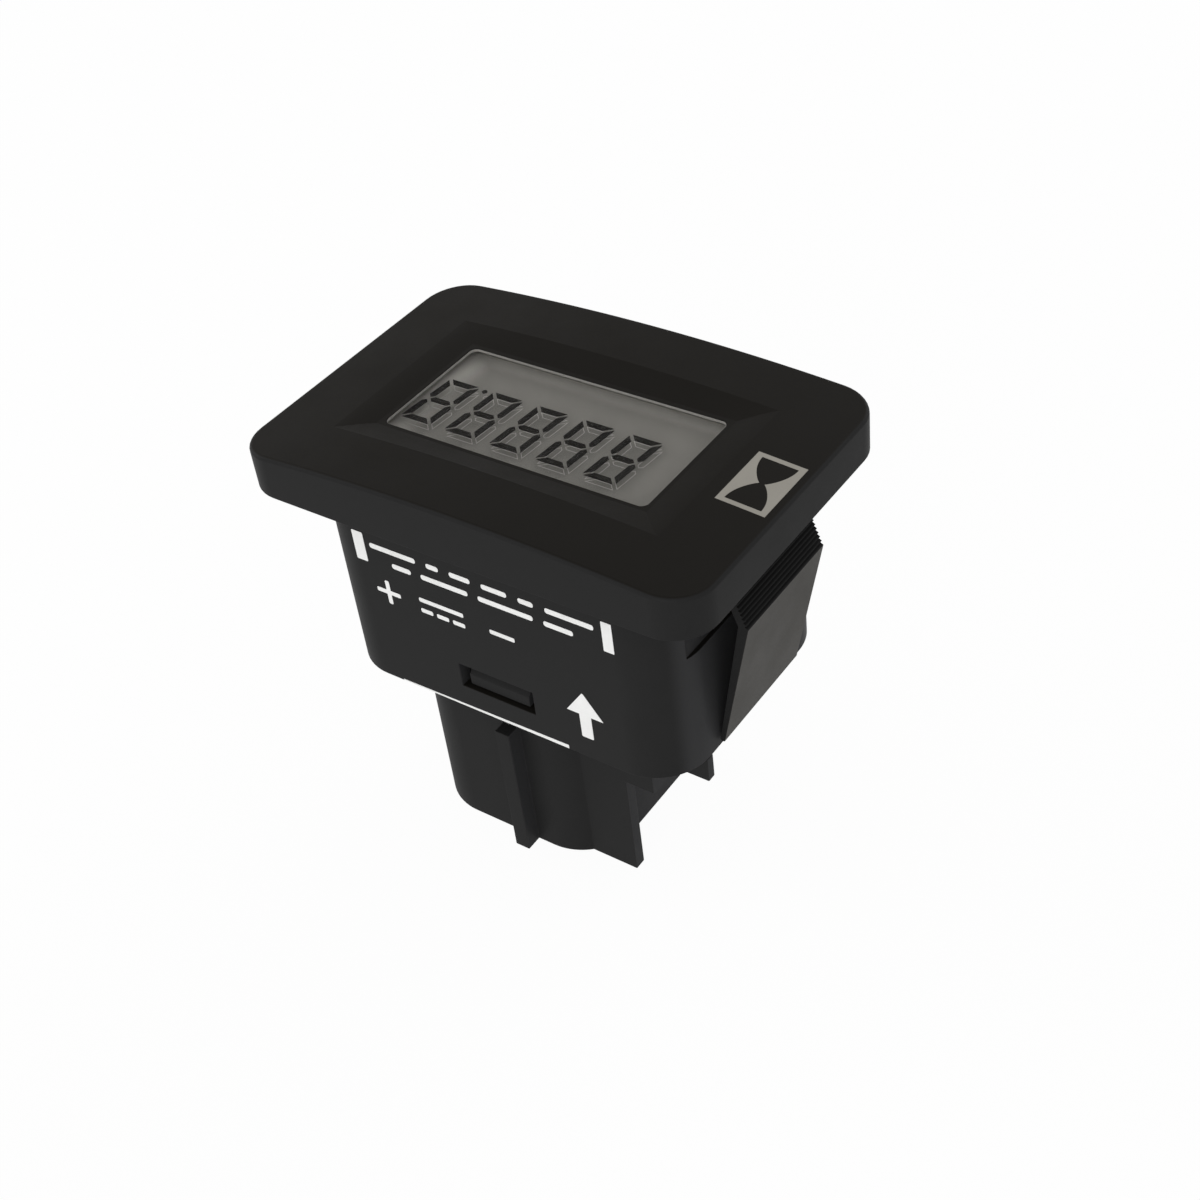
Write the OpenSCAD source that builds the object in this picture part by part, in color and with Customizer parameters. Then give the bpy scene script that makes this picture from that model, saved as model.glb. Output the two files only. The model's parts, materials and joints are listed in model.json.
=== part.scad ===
// Snap-in panel hour meter: crowned bezel with a dished face, display, body with two sprung arms,
// and a rear cover that carries the connector shroud. Millimetres. The underside of the bezel, which
// rests on the panel, is z = 0, with the display facing up and its digits read from the -Y side.

/* [Bezel] */
// Width of the bezel, along the row of digits
bezel_w = 42.2; // [41:0.1:48]
// Depth of the bezel, front to back
bezel_d = 28.1; // [26:0.1:34]
// Height of the bezel at its two ends
bezel_edge = 3.6; // [3.2:0.1:6]
// Rise of the crowned top from the ends to the middle
crown = 1.0; // [0.8:0.05:1.6]
// Corner radius of the bezel in plan
bezel_r = 3.5; // [2:0.1:6]
// Fillet along the top edge of the bezel
bezel_fillet = 0.35; // [0.2:0.05:1]

/* [Face] */
// Reach of the dished recess beyond each end of the window
recess_side = 3; // [2:0.1:4]
// Reach of the recess beyond the front and back of the window
recess_front = 2.65; // [1.6:0.05:3.4]
// Fall of the recess floor below the middle of the crown
recess_drop = 0.8; // [0.6:0.05:0.9]
// Distance of each end of the window from the side of the body
window_side = 4.65; // [4.3:0.05:5.05]
// Distance of the window from the front and back of the body
window_front = 5.75; // [5.4:0.05:6.6]
// Corner radius of the window
window_r = 0.6; // [0.2:0.1:1.5]
// Flat ledge between the window and the slopes of the recess
ledge = 0.4; // [0.2:0.1:0.8]
// Thickness of the face wall at the window
face_t = 0.32; // [0.28:0.01:0.6]

/* [Display] */
// Thickness of the clear lens
lens_t = 0.2; // [0.1:0.01:0.22]
// Thickness of the polariser and of the reflector
film_t = 0.06; // [0.04:0.01:0.1]
// Thickness of the front glass
glass_t = 0.2; // [0.15:0.05:0.5]
// Thickness of the rear glass
rear_glass_t = 0.55; // [0.3:0.05:0.7]
// Overlap of the glass behind the face wall, at each end of the window
glass_lap = 0.9; // [0.6:0.1:1.2]
// Overlap of the rear glass behind the face wall, at the front and back of the window
rear_lap = 0.9; // [0.4:0.05:0.9]
// Width of the contact ledge that the shorter rear glass leaves bare at front and back
contact_ledge = 1.2; // [1:0.1:1.6]
// Number of digits
digits = 5; // [3:1:5]
// Height of a digit
digit_h = 5.92; // [4:0.02:6.4]
// Width of a digit
digit_w = 2.96; // [2:0.02:3.2]
// Spacing of the digits
digit_pitch = 4.37; // [3.9:0.01:4.5]
// Distance of the digits from the front edge of the window
digit_front = 1.83; // [1.5:0.01:2.5]
// Distance of the first digit from the left end of the window
digit_side = 0.05; // [0:0.01:0.3]
// Width of a display segment
segment_w = 0.58; // [0.3:0.02:0.8]
// Gap between two display segments
segment_gap = 0.26; // [0.1:0.02:0.3]
// Thickness of a display segment
segment_t = 0.05; // [0.03:0.01:0.1]
// Diameter of the display's point
point_d = 0.45; // [0.3:0.01:0.6]
// Lean of the digits in degrees
digit_lean = 5; // [0:0.2:8]

/* [Body] */
// Width of the body
body_w = 33.7; // [33:0.1:36]
// Depth of the body, front to back
body_d = 23.2; // [22.6:0.1:25]
// Height of the body below the bezel
body_h = 18.2; // [17.5:0.1:24]
// Corner radius of the body in plan
body_r = 4.7; // [3:0.1:6]
// Wall thickness of the body
wall = 1.2; // [0.9:0.05:1.5]
// Top of the body's hollow above the underside of the bezel
hollow_top = 2; // [1:0.1:2.2]

/* [Snap arms] */
// Width of an arm, front to back
arm_w = 11.2; // [8:0.1:12]
// Thickness of an arm
arm_t = 0.85; // [0.6:0.05:1]
// Reach of the arm's ridge beyond the body wall
ridge_reach = 3.32; // [2.8:0.02:3.6]
// Depth of the ridge below the bezel
ridge_z = 4.9; // [4.2:0.1:6]
// Depth of the hinge line at the arm's root below the bezel
root_z = 17.4; // [15.5:0.1:17.4]
// Thickness of the thinned root that flexes
root_t = 0.44; // [0.36:0.02:0.6]
// Depth of the top of the arm's head below the bezel
head_z = 1; // [0.6:0.1:1.6]
// Lean of the serrated head in degrees
head_lean = 20; // [16:0.5:24]
// Spacing of the serrations, down the head
tooth_pitch = 0.35; // [0.25:0.01:0.5]
// Height of a serration
tooth_h = 0.17; // [0.06:0.01:0.2]
// Clearance round an arm
arm_gap = 0.08; // [0.05:0.01:0.15]
// Greatest inward flex of an arm in degrees
arm_flex = 8; // [4:0.5:8]
// Depth of the shallow relief in the body wall round each arm
relief_t = 0.4; // [0.2:0.05:0.6]
// Reach of the relief beyond each side of the arm
relief_side = 2.9; // [1:0.1:3.2]
// Reach of the relief below the arm's ridge
relief_drop = 2; // [1:0.1:4]

/* [Latch] */
// Width of the latch window in the body wall
latch_w = 7.3; // [6:0.1:9]
// Height of the latch window
latch_h = 2.35; // [1.8:0.05:3]
// Depth of the middle of the latch window below the bezel
latch_z = 14.65; // [13.6:0.05:15]
// Clearance between a latch tab and its window
latch_gap = 0.25; // [0.1:0.05:0.4]
// Set-back of a latch tab from the outer face of the body
latch_setback = 0.3; // [0.1:0.05:0.5]

/* [Rear cover] */
// Thickness of the closing plate
plate_t = 1.5; // [1:0.1:2]
// Clearance between the cover and the body
cover_gap = 0.1; // [0.05:0.01:0.2]
// Thickness of a latch tongue
tongue_t = 1.1; // [0.8:0.1:1.4]
// Diameter of the pillars that press on the board
pillar_d = 2.2; // [1.6:0.1:2.4]

/* [Connector] */
// Width of the shroud
shroud_w = 18.95; // [17:0.05:20]
// Depth of the shroud, front to back
shroud_d = 17.5; // [15.5:0.1:18.5]
// Length of the shroud below the body
shroud_h = 17.2; // [15:0.1:22]
// Offset of the shroud to the left of the body's middle
shroud_x = 3.69; // [3:0.01:4]
// Corner radius of the shroud
shroud_r = 5.2; // [3:0.1:6]
// Wall thickness of the shroud
shroud_wall = 1.5; // [1.2:0.1:1.8]
// Thickness of the shroud's floor
shroud_floor = 2; // [1.2:0.1:3]
// Thickness of the front rib
rib_t = 1.44; // [1:0.02:2]
// Reach of the front rib from the shroud
rib_reach = 1.5; // [0.8:0.1:2]
// Place of the front rib, right of the shroud's middle
rib_x = 1.95; // [-3:0.05:3]
// Start of the front rib below the body
rib_top = 3.4; // [1:0.1:5]
// Thickness of the side rib
side_rib_t = 1.13; // [0.8:0.01:1.6]
// Reach of the side rib from the shroud
side_rib_reach = 2.7; // [1.5:0.1:4]
// Reach of the raised step from the shroud
step_reach = 5.45; // [4.5:0.05:6.5]
// Height of the raised step
step_h = 6.6; // [4:0.1:8]
// Half depth of the raised step, and place of the side rib's front face
step_y = 7.5; // [6.5:0.1:8]
// Thickness of the corner web
web_t = 0.84; // [0.6:0.02:1.1]
// Height of the corner web
web_h = 2.35; // [1.5:0.05:4]

/* [Terminals] */
// Width of a terminal blade
blade_w = 6.3; // [4:0.1:7]
// Thickness of a terminal blade
blade_t = 0.8; // [0.5:0.1:1]
// Spacing of the two blades
blade_pitch = 8.4; // [7:0.1:9.5]
// Set-back of the blade tips from the mouth of the shroud
blade_setback = 4.9; // [4.5:0.1:7]
// Width of the solder tail of a blade
tail_w = 1.2; // [0.8:0.1:1.4]
// Clearance of a solder tail in the board
tail_gap = 0.15; // [0.1:0.05:0.3]
// Height of a solder tail above the board
tail_proud = 0.5; // [0.2:0.1:0.8]

/* [Board] */
// Clearance between the circuit board and the inside of the body
board_gap = 0.5; // [0.3:0.05:0.8]
// Corner radius of the circuit board
board_r = 1.5; // [1:0.1:2.5]
// Thickness of the circuit board
board_t = 1.6; // [0.8:0.1:2]
// Depth of the board's top below the bezel
board_z = 3; // [2.5:0.1:4]
// Thickness of a contact strip
zebra_t = 0.9; // [0.7:0.05:1]
// Clearance of a contact strip and of the display in the holder
holder_gap = 0.1; // [0.05:0.01:0.15]
// Wall of the display holder outside its slots
holder_wall = 0.8; // [0.6:0.1:1.1]
// Thickness of the holder's plate under the display
holder_plate = 1.2; // [0.8:0.1:2]

/* [Hidden] */
$fn = 64;

// Overlap by which a cut runs past the face that it opens
over = 1;
// Number of flats along the crown, round a bezel corner and up the fillet
crown_n = 48;
corner_n = 10;
fillet_n = 4;
// Number of flats in the roll at each end of the recess, and how far it ends above the crown
roll_n = 12;
roll_lift = 0.01;

// Plan sizes of the window and the recess
window_w = body_w - 2 * window_side;
window_d = body_d - 2 * window_front;
recess_w = window_w + 2 * recess_side;
recess_d = window_d + 2 * recess_front;

// Heights of the face and of the display's layers
face_z = bezel_edge + crown - recess_drop;
glass_top = face_z - face_t;
glass_bottom = glass_top - glass_t;
rear_top = glass_bottom - segment_t;
rear_bottom = rear_top - rear_glass_t;
holder_top = rear_bottom - film_t;
board_bottom = -board_z - board_t;

// Plan sizes of the display and its holder
bond_gap = 0.1;
glass_w = window_w + 2 * glass_lap;
rear_d = window_d + 2 * rear_lap;
glass_d = rear_d + 2 * contact_ledge;
zebra_y = glass_d / 2 - contact_ledge / 2;
zebra_slot = zebra_t + 2 * holder_gap;
holder_w = glass_w + 2 * (holder_wall - holder_gap);
holder_d = 2 * zebra_y + zebra_slot + 2 * holder_wall;

// Inner faces of the body and the deep pocket behind each arm's head
inner_w = body_w - 2 * wall;
inner_d = body_d - 2 * wall;
inner_r = body_r - wall;
pocket_floor = 1;
pocket_margin = 0.3;

// Outline of an arm, in the X-Z plane on the right of the body
root_x = body_w / 2 + arm_gap + root_t / 2;
ridge_x = body_w / 2 + ridge_reach;
leg_angle = atan2(ridge_x - root_x - root_t / 2, root_z - ridge_z);
head_top_x = ridge_x - (ridge_z - head_z) * tan(head_lean);
head_in_x = head_top_x - arm_t / cos(head_lean);
// Where the head's inner top corner goes at full flex
flex_x = root_x + (head_in_x - root_x) * cos(arm_flex) - (root_z - head_z) * sin(arm_flex);
pocket_depth = max(0, body_w / 2 - flex_x) + pocket_margin;
pocket_h = ridge_z - pocket_margin;
pocket_w = arm_w + 4 * pocket_margin;
// Half width of the hollow between the pockets
step_x = body_w / 2 - pocket_depth - pocket_floor;

// Circuit board, which fits the hollow between the pockets
board_w = 2 * (step_x - board_gap);
board_d = inner_d - 2 * board_gap;

// Rear cover
cover_w = inner_w - 2 * cover_gap;
cover_d = inner_d - 2 * cover_gap;
cover_r = inner_r - cover_gap;
plate_top = plate_t - body_h;
tongue_margin = 1;
tongue_above = 0.6;
tab_margin = 0.45;
tongue_w = latch_w + 2 * tongue_margin;
tongue_top = -latch_z + latch_h / 2 + tongue_above;
tab_w = latch_w - 2 * (latch_gap + tab_margin);
mouth_z = -body_h - shroud_h;
socket_top = -body_h - shroud_floor;
shroud_right = shroud_w / 2 - shroud_x;
pillar_inset = 0.3;
pillar_x = board_w / 2 - pillar_d / 2 - pillar_inset;
pillar_y = board_d / 2 - pillar_d / 2 - pillar_inset;

// Parts on the underside of the board: place, then size. Those at its ends keep to the ends.
end_room = 0.65;
controller_at = [6.2, -3.9];
controller_size = [8.6, 3.9, 1.5];
memory_size = [4.9, 3.9, 1.5];
lead_pitch = 1.27;
crystal_d = 2;
crystal_l = 6;
crystal_lead = 0.5;
crystal_at = [crystal_l / 2 + end_room - board_w / 2, -4.6];
crystal_room = 0.5;
memory_at = [crystal_at[0] + crystal_l / 2 + crystal_lead + crystal_room + memory_size[0] / 2, -5.4];
capacitor_at = [-8.2, 4.9];
capacitor_d = 6.3;
capacitor_h = 7.7;
varistor_at = [6.4, 5.75];
varistor_d = 7;
varistor_t = 3.2;
varistor_lead = 1.2;
diode_size = [3.6, 4.3, 2.3];
diode_tab = [2, 0.4, 0.2];
diode_at = [board_w / 2 - diode_size[0] / 2 - end_room, 1.9];
resistor_at = [-2.6, 3];
resistor_size = [3.2, 1.6, 0.6];
resistor_pitch = 2.2;

// Height of the crowned top
function top_z(x) = bezel_edge + crown * (1 - pow(2 * x / bezel_w, 2));

// Right-to-left row of points along the back half of the bezel's outline, drawn in by inset
function half_outline(inset) = let (
    r = bezel_r - inset,
    cx = bezel_w / 2 - bezel_r,
    cy = bezel_d / 2 - bezel_r
) concat(
    [for (i = [0:corner_n]) let (a = 90 * i / corner_n) [cx + r * cos(a), cy + r * sin(a)]],
    [for (i = [1:crown_n - 1]) [cx - 2 * cx * i / crown_n, cy + r]],
    [for (i = [0:corner_n]) let (a = 90 + 90 * i / corner_n) [-cx + r * cos(a), cy + r * sin(a)]]
);

// Closed ring of points: the back half, then its mirror image along the front
function full_outline(inset) = let (half = half_outline(inset), n = len(half)) concat(
    half,
    [for (i = [0:n - 1]) [half[n - 1 - i][0], -half[n - 1 - i][1]]]
);

// Rounded rectangle of true arcs
module plan(w, d, r) {
    square([w - 2 * r, d], center = true);
    square([w, d - 2 * r], center = true);
    for (x = [-1, 1], y = [-1, 1])
        translate([x * (w / 2 - r), y * (d / 2 - r)]) circle(r);
}

module prism(w, d, r, z0, z1) {
    translate([0, 0, z0]) linear_extrude(z1 - z0) plan(w, d, r);
}

// Box centred on x = 0 and y = 0, between two heights
module block(w, d, z0, z1) {
    translate([-w / 2, -d / 2, z0]) cube([w, d, z1 - z0]);
}

// Profile drawn in X-Z, extruded along Y about its middle
module across(depth) {
    rotate([90, 0, 0]) linear_extrude(depth, center = true) children();
}

// Bezel lofted through rings: straight sides, the fillet, and a top that is crowned along X
module bezel_blank() {
    n = 2 * (2 * corner_n + crown_n + 1);
    half = n / 2;
    base = [for (p = full_outline(0)) [p[0], p[1], 0]];
    rings = [for (j = [0:fillet_n]) let (a = 90 * j / fillet_n)
        for (p = full_outline(bezel_fillet * (1 - cos(a))))
            [p[0], p[1], top_z(p[0]) - bezel_fillet * (1 - sin(a))]];
    sides = [for (j = [0:fillet_n], i = [0:n - 1], k = [0, 1])
        let (a = j * n + i, b = j * n + (i + 1) % n)
            k == 0 ? [a, a + n, b] : [b, a + n, b + n]];
    cap = [for (i = [0:half - 2]) let (t = (fillet_n + 1) * n)
        [t + i, t + n - 1 - i, t + n - 2 - i, t + i + 1]];
    polyhedron(concat(base, rings), concat(sides, cap, [[for (i = [0:n - 1]) i]]), convexity = 4);
}

// Space above the two long slopes of the recess, whose top creases run straight along the crown
module slopes() {
    floor_y = window_d / 2 + ledge;
    crest_y = recess_d / 2;
    past = 1.1;
    far_y = floor_y + past * (crest_y - floor_y);
    roof = bezel_edge + crown + over;
    points = [for (i = [0:crown_n])
        let (x = recess_w * (i / crown_n - 0.5), z = face_z + past * (top_z(x) - face_z))
            each [[x, -far_y, roof], [x, -far_y, z], [x, -floor_y, face_z],
                  [x, floor_y, face_z], [x, far_y, z], [x, far_y, roof]]];
    last = 6 * crown_n;
    skin = [for (i = [0:crown_n - 1], k = [0:5], t = [0, 1])
        let (a = 6 * i + k, b = 6 * i + (k + 1) % 6)
            t == 0 ? [a, a + 6, b] : [b, a + 6, b + 6]];
    ends = [[0, 1, 2, 3, 4, 5], [for (k = [0:5]) last + 5 - k]];
    polyhedron(points, concat(skin, ends), convexity = 4);
}

// Outline of the recess along X: a flat floor, and two ends that roll out into the crown
module recess_profile() {
    floor_x = window_w / 2 + ledge;
    crest_x = recess_w / 2;
    roof = bezel_edge + crown + over;
    rise = top_z(crest_x) + roll_lift - face_z;
    roll = [for (i = [0:roll_n]) let (s = i / roll_n)
        [floor_x + (crest_x - floor_x) * s, face_z + rise * sin(90 * s)]];
    polygon(concat(
        roll,
        [[crest_x, roof], [-crest_x, roof]],
        [for (i = [0:roll_n]) [-roll[roll_n - i][0], roll[roll_n - i][1]]]
    ));
}

module recess() {
    intersection() {
        slopes();
        across(bezel_d) recess_profile();
    }
}

// Hollow of the body, which steps in behind the pockets for the arms' heads
module hollow() {
    difference() {
        prism(inner_w, inner_d, inner_r, -body_h - over, hollow_top);
        for (s = [-1, 1])
            translate([s * (step_x + body_w / 2), 0, 0])
                block(body_w, pocket_w + 2 * pocket_floor, -pocket_h - pocket_floor, hollow_top + over);
    }
}

module case() {
    color([0.13, 0.13, 0.13]) difference() {
        union() {
            bezel_blank();
            prism(body_w, body_d, body_r, -body_h, hollow_top);
        }
        recess();
        prism(window_w, window_d, window_r, 0, bezel_edge + crown + over);
        block(glass_w + 2 * holder_gap, glass_d + 2 * holder_gap, 0, glass_top);
        block(holder_w + 2 * holder_gap, holder_d + 2 * holder_gap, 0, holder_top);
        hollow();
        for (s = [-1, 1]) {
            translate([s * (body_w - pocket_depth), 0, 0]) block(body_w, pocket_w, -pocket_h, 0);
            translate([s * (body_w - relief_t), 0, 0])
                block(body_w, arm_w + 2 * relief_side, -ridge_z - relief_drop, 0);
            translate([0, s * body_d / 2, 0])
                block(latch_w, 4 * wall, -latch_z - latch_h / 2, -latch_z + latch_h / 2);
        }
    }
}

module window_lens() {
    z = glass_top + film_t;
    color([0.75, 0.77, 0.76, 0.4])
        prism(window_w - 2 * bond_gap, window_d - 2 * bond_gap, window_r, z, z + lens_t);
}

module lcd_polariser() {
    color([0.5, 0.5, 0.47, 0.5])
        prism(window_w - 2 * bond_gap, window_d - 2 * bond_gap, window_r, glass_top, glass_top + film_t);
}

module lcd_front_glass() {
    color([0.7, 0.74, 0.72, 0.4]) block(glass_w, glass_d, glass_bottom, glass_top);
}

module lcd_rear_glass() {
    color([0.62, 0.64, 0.6]) block(glass_w, rear_d, rear_bottom, rear_top);
}

module lcd_reflector() {
    color([0.41, 0.4, 0.37]) block(glass_w, rear_d, holder_top, rear_bottom);
}

// One point of a digit, leaned over
function lean(p) = [p[0] + p[1] * tan(digit_lean), p[1]];

// The same point of the opposite side or end of a digit
function other_side(p) = [digit_w - p[0], p[1]];
function other_end(p) = [p[0], digit_h - p[1]];

// Seven segments about the lower left corner of a digit, mitred at its corners and pointed at its middle
module digit() {
    half = segment_w / 2;
    shift = segment_gap / sqrt(2);
    middle = digit_h / 2;
    top = [
        [shift, digit_h], [digit_w - shift, digit_h], [digit_w - segment_w - shift, digit_h - segment_w],
        [segment_w + shift, digit_h - segment_w]
    ];
    side = [
        [0, digit_h - shift], [segment_w, digit_h - segment_w - shift], [segment_w, middle + shift + half],
        [half, middle + shift], [0, middle + shift + half]
    ];
    bar = [
        [half + shift, middle], [segment_w + shift, middle + half],
        [digit_w - segment_w - shift, middle + half],
        [digit_w - half - shift, middle], [digit_w - segment_w - shift, middle - half],
        [segment_w + shift, middle - half]
    ];
    opposite = [for (p = side) other_side(p)];
    upper = [top, side, opposite];
    lower = [for (shape = upper) [for (p = shape) other_end(p)]];
    for (shape = concat(upper, lower, [bar])) polygon([for (p = shape) lean(p)]);
}

module lcd_segments() {
    left = -window_w / 2 + digit_side;
    front = -window_d / 2 + digit_front;
    point_at = lean([digit_w + (digit_pitch - digit_w) / 2, digit_h - segment_w / 2]);
    color([0.16, 0.15, 0.13]) translate([left, front, rear_top]) linear_extrude(segment_t) {
        for (i = [0:digits - 1]) translate([i * digit_pitch, 0]) digit();
        translate(point_at) circle(d = point_d);
    }
}

// Frame with a slot for each contact strip and a plate under the display
module lcd_holder() {
    color([0.85, 0.85, 0.82]) difference() {
        block(holder_w, holder_d, -board_z, holder_top);
        for (s = [-1, 1]) translate([0, s * zebra_y, 0])
            block(glass_w - 2 * contact_ledge + 2 * holder_gap, zebra_slot, -board_z - over,
                  holder_top + over);
        block(glass_w - 2 * contact_ledge, 2 * zebra_y - zebra_slot - 2 * holder_wall, -board_z - over,
              holder_top - holder_plate);
    }
}

module zebra_strip(side) {
    color([0.66, 0.65, 0.62]) translate([0, side * zebra_y, 0])
        block(glass_w - 2 * contact_ledge, zebra_t, -board_z, glass_bottom);
}

module zebra_strip_front() {
    zebra_strip(-1);
}

module zebra_strip_back() {
    zebra_strip(1);
}

// X place of a terminal blade on the left (-1) or right (1)
function blade_x(side) = -shroud_x + side * blade_pitch / 2;

module circuit_board() {
    hole_d = norm([tail_w, blade_t]) + 2 * tail_gap;
    color([0.1, 0.35, 0.2]) difference() {
        prism(board_w, board_d, board_r, board_bottom, -board_z);
        for (s = [-1, 1]) translate([blade_x(s), 0, board_bottom - over])
            cylinder(d = hole_d, h = board_t + 2 * over);
    }
}

// Chip with a row of bent leads along its front and back
module chip(at, size, leads) {
    foot = 1;
    lead_t = 0.2;
    lead_w = 0.42;
    translate([at[0], at[1], board_bottom]) {
        block(size[0], size[1], -size[2], -lead_t);
        for (i = [0:leads - 1], s = [-1, 1])
            translate([(i - (leads - 1) / 2) * lead_pitch, s * (size[1] / 2 + foot / 2), 0]) {
                block(lead_w, foot, -lead_t, 0);
                translate([0, -s * (foot - lead_t) / 2, 0]) block(lead_w, lead_t, -size[2] / 2, 0);
            }
    }
}

module controller_chip() {
    color([0.1, 0.1, 0.1]) chip(controller_at, controller_size, 7);
}

module memory_chip() {
    color([0.1, 0.1, 0.1]) chip(memory_at, memory_size, 4);
}

// Small can lying on the board, with two wire leads
module quartz_crystal() {
    lead_d = 0.3;
    root = lead_d / 2;
    color([0.75, 0.75, 0.72])
        translate([crystal_at[0] - crystal_l / 2, crystal_at[1], board_bottom - crystal_d / 2]) {
            rotate([0, 90, 0]) cylinder(d = crystal_d, h = crystal_l);
            for (s = [-1, 1]) translate([crystal_l, s * crystal_d / 5, 0]) {
                rotate([0, 90, 0]) translate([0, 0, -root]) cylinder(d = lead_d, h = crystal_lead + root);
                translate([crystal_lead, 0, 0]) cylinder(d = lead_d, h = crystal_d / 2);
            }
        }
}

// Can with a rolled groove near its seal
module filter_capacitor() {
    r = capacitor_d / 2;
    groove = 0.35;
    groove_z = 1.4;
    color([0.2, 0.22, 0.3]) translate([capacitor_at[0], capacitor_at[1], board_bottom - capacitor_h])
        rotate_extrude() difference() {
            square([r, capacitor_h]);
            translate([r + groove / 2, capacitor_h - groove_z]) circle(groove);
        }
}

// Disc on edge with two leads
module varistor() {
    lead_d = 0.6;
    color([0.15, 0.3, 0.55]) translate([varistor_at[0], varistor_at[1], board_bottom]) {
        translate([0, 0, -varistor_lead - varistor_d / 2]) rotate([90, 0, 0])
            cylinder(d = varistor_d, h = varistor_t, center = true);
        for (s = [-1, 1])
            translate([s * varistor_d / 4, s * varistor_t / 6, -varistor_lead - varistor_d / 2])
                cylinder(d = lead_d, h = varistor_lead + varistor_d / 2);
    }
}

module supply_diode() {
    color([0.12, 0.12, 0.12]) translate([diode_at[0], diode_at[1], board_bottom]) {
        block(diode_size[0], diode_size[1], -diode_size[2], -diode_tab[2]);
        block(diode_tab[0], diode_size[1] + 2 * diode_tab[1], -diode_tab[2], 0);
    }
}

module chip_resistors() {
    color([0.15, 0.15, 0.16]) for (i = [0:2])
        translate([resistor_at[0], resistor_at[1] + i * resistor_pitch, board_bottom])
            block(resistor_size[0], resistor_size[1], -resistor_size[2], 0);
}

// Blade with a chamfered tip, a shoulder on the cover and a narrow tail through the board
module terminal_blade(side) {
    tip = mouth_z + blade_setback;
    chamfer = blade_w / 6;
    tail_end = tail_proud - board_z;
    shoulder = plate_top;
    color([0.78, 0.72, 0.5]) translate([blade_x(side), 0, 0]) rotate([90, 0, 90])
        linear_extrude(blade_t, center = true) polygon([
            [-blade_w / 2 + chamfer, tip], [blade_w / 2 - chamfer, tip], [blade_w / 2, tip + chamfer],
            [blade_w / 2, shoulder], [tail_w / 2, shoulder + chamfer], [tail_w / 2, tail_end],
            [-tail_w / 2, tail_end], [-tail_w / 2, shoulder + chamfer], [-blade_w / 2, shoulder],
            [-blade_w / 2, tip + chamfer]
        ]);
}

module terminal_blade_positive() {
    terminal_blade(-1);
}

module terminal_blade_negative() {
    terminal_blade(1);
}

// Tongue inside the front (-1) or back (1) wall with a ramped tab that catches in the latch window
module latch(side) {
    tab_low = -latch_z - latch_h / 2 + latch_gap;
    tab_high = -latch_z + latch_h / 2;
    reach = wall + cover_gap - latch_setback;
    face = cover_d / 2;
    mirror([0, side < 0 ? 1 : 0, 0]) {
        translate([0, face - tongue_t / 2, 0])
            block(tongue_w, tongue_t, plate_top - plate_t / 2, tongue_top);
        translate([tab_w / 2, 0, 0]) rotate([0, -90, 0]) linear_extrude(tab_w) polygon([
            [tab_low, face - tongue_t / 2], [tab_low, face + reach],
            [(tab_low + tab_high) / 2, face + reach],
            [tab_high, face + cover_gap], [tab_high, face - tongue_t / 2]
        ]);
    }
}

module shroud_outside() {
    translate([-shroud_x, 0, 0]) prism(shroud_w, shroud_d, shroud_r, mouth_z, plate_top);
}

// Outside of the raised step, drawn in by inset
module raised_step(inset, z0, z1) {
    x0 = shroud_right - shroud_r;
    x1 = shroud_right + step_reach - inset;
    translate([x0, -step_y + inset, z0]) cube([x1 - x0, 2 * (step_y - inset), z1 - z0]);
}

module rear_cover() {
    corner_x = shroud_right - shroud_r;
    color([0.15, 0.15, 0.15]) difference() {
        union() {
            prism(cover_w, cover_d, cover_r, -body_h, plate_top);
            shroud_outside();
            raised_step(0, -body_h - step_h, plate_top);
            // Front rib
            translate([-shroud_x + rib_x, -shroud_d / 2, mouth_z]) translate([-rib_t / 2, -rib_reach, 0])
                cube([rib_t, rib_reach + shroud_wall / 2, shroud_h - rib_top]);
            // Side rib, flush with the front of the raised step
            translate([corner_x, -step_y, mouth_z])
                cube([shroud_r + side_rib_reach, side_rib_t, shroud_h - step_h / 2]);
            // Corner web, out to the side of the body
            translate([corner_x, -step_y, -body_h - web_h])
                cube([body_w / 2 - corner_x, web_t, web_h]);
            for (s = [-1, 1]) latch(s);
            for (x = [-1, 1], y = [-1, 1])
                translate([x * pillar_x, y * pillar_y, -body_h + plate_t / 2])
                    cylinder(d = pillar_d, h = board_bottom + body_h - plate_t / 2);
        }
        // Socket for the plug
        translate([-shroud_x, 0, 0]) prism(
            shroud_w - 2 * shroud_wall, shroud_d - 2 * shroud_wall, shroud_r - shroud_wall,
            mouth_z - over, socket_top
        );
        // Hollow of the raised step, open to the inside of the body
        intersection() {
            raised_step(shroud_wall, -body_h - step_h + shroud_wall, plate_top + over);
            translate([shroud_right + body_w / 2, 0, 0])
                block(body_w, body_d, -body_h - step_h, plate_top + over);
        }
        // Slots that hold the blades
        for (s = [-1, 1]) translate([blade_x(s), 0, 0]) block(blade_t, blade_w, mouth_z, plate_top + over);
    }
}

// Outline of the right arm: thin root, leaning leg, ridge, and a head with saw teeth
module arm_profile() {
    teeth = floor((ridge_z - head_z) / tooth_pitch);
    in = arm_t / cos(leg_angle);
    knee_x = ridge_x - in;
    step = tooth_pitch * tan(head_lean);
    head = [for (i = [0:teeth - 1])
        let (z = -ridge_z + i * tooth_pitch, x = ridge_x - i * step)
            each [[x, z], [x - step - tooth_h, z + tooth_pitch / 2]]];
    polygon(concat(
        [[root_x + root_t / 2, -root_z]],
        head,
        [[head_top_x, -head_z], [head_in_x, -head_z], [knee_x, -ridge_z], [root_x - root_t / 2, -root_z]]
    ));
}

module snap_arm() {
    color([0.27, 0.26, 0.25]) {
        across(arm_w) arm_profile();
        translate([root_x, 0, -root_z]) rotate([90, 0, 0]) cylinder(d = root_t, h = arm_w, center = true);
    }
}

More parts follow.
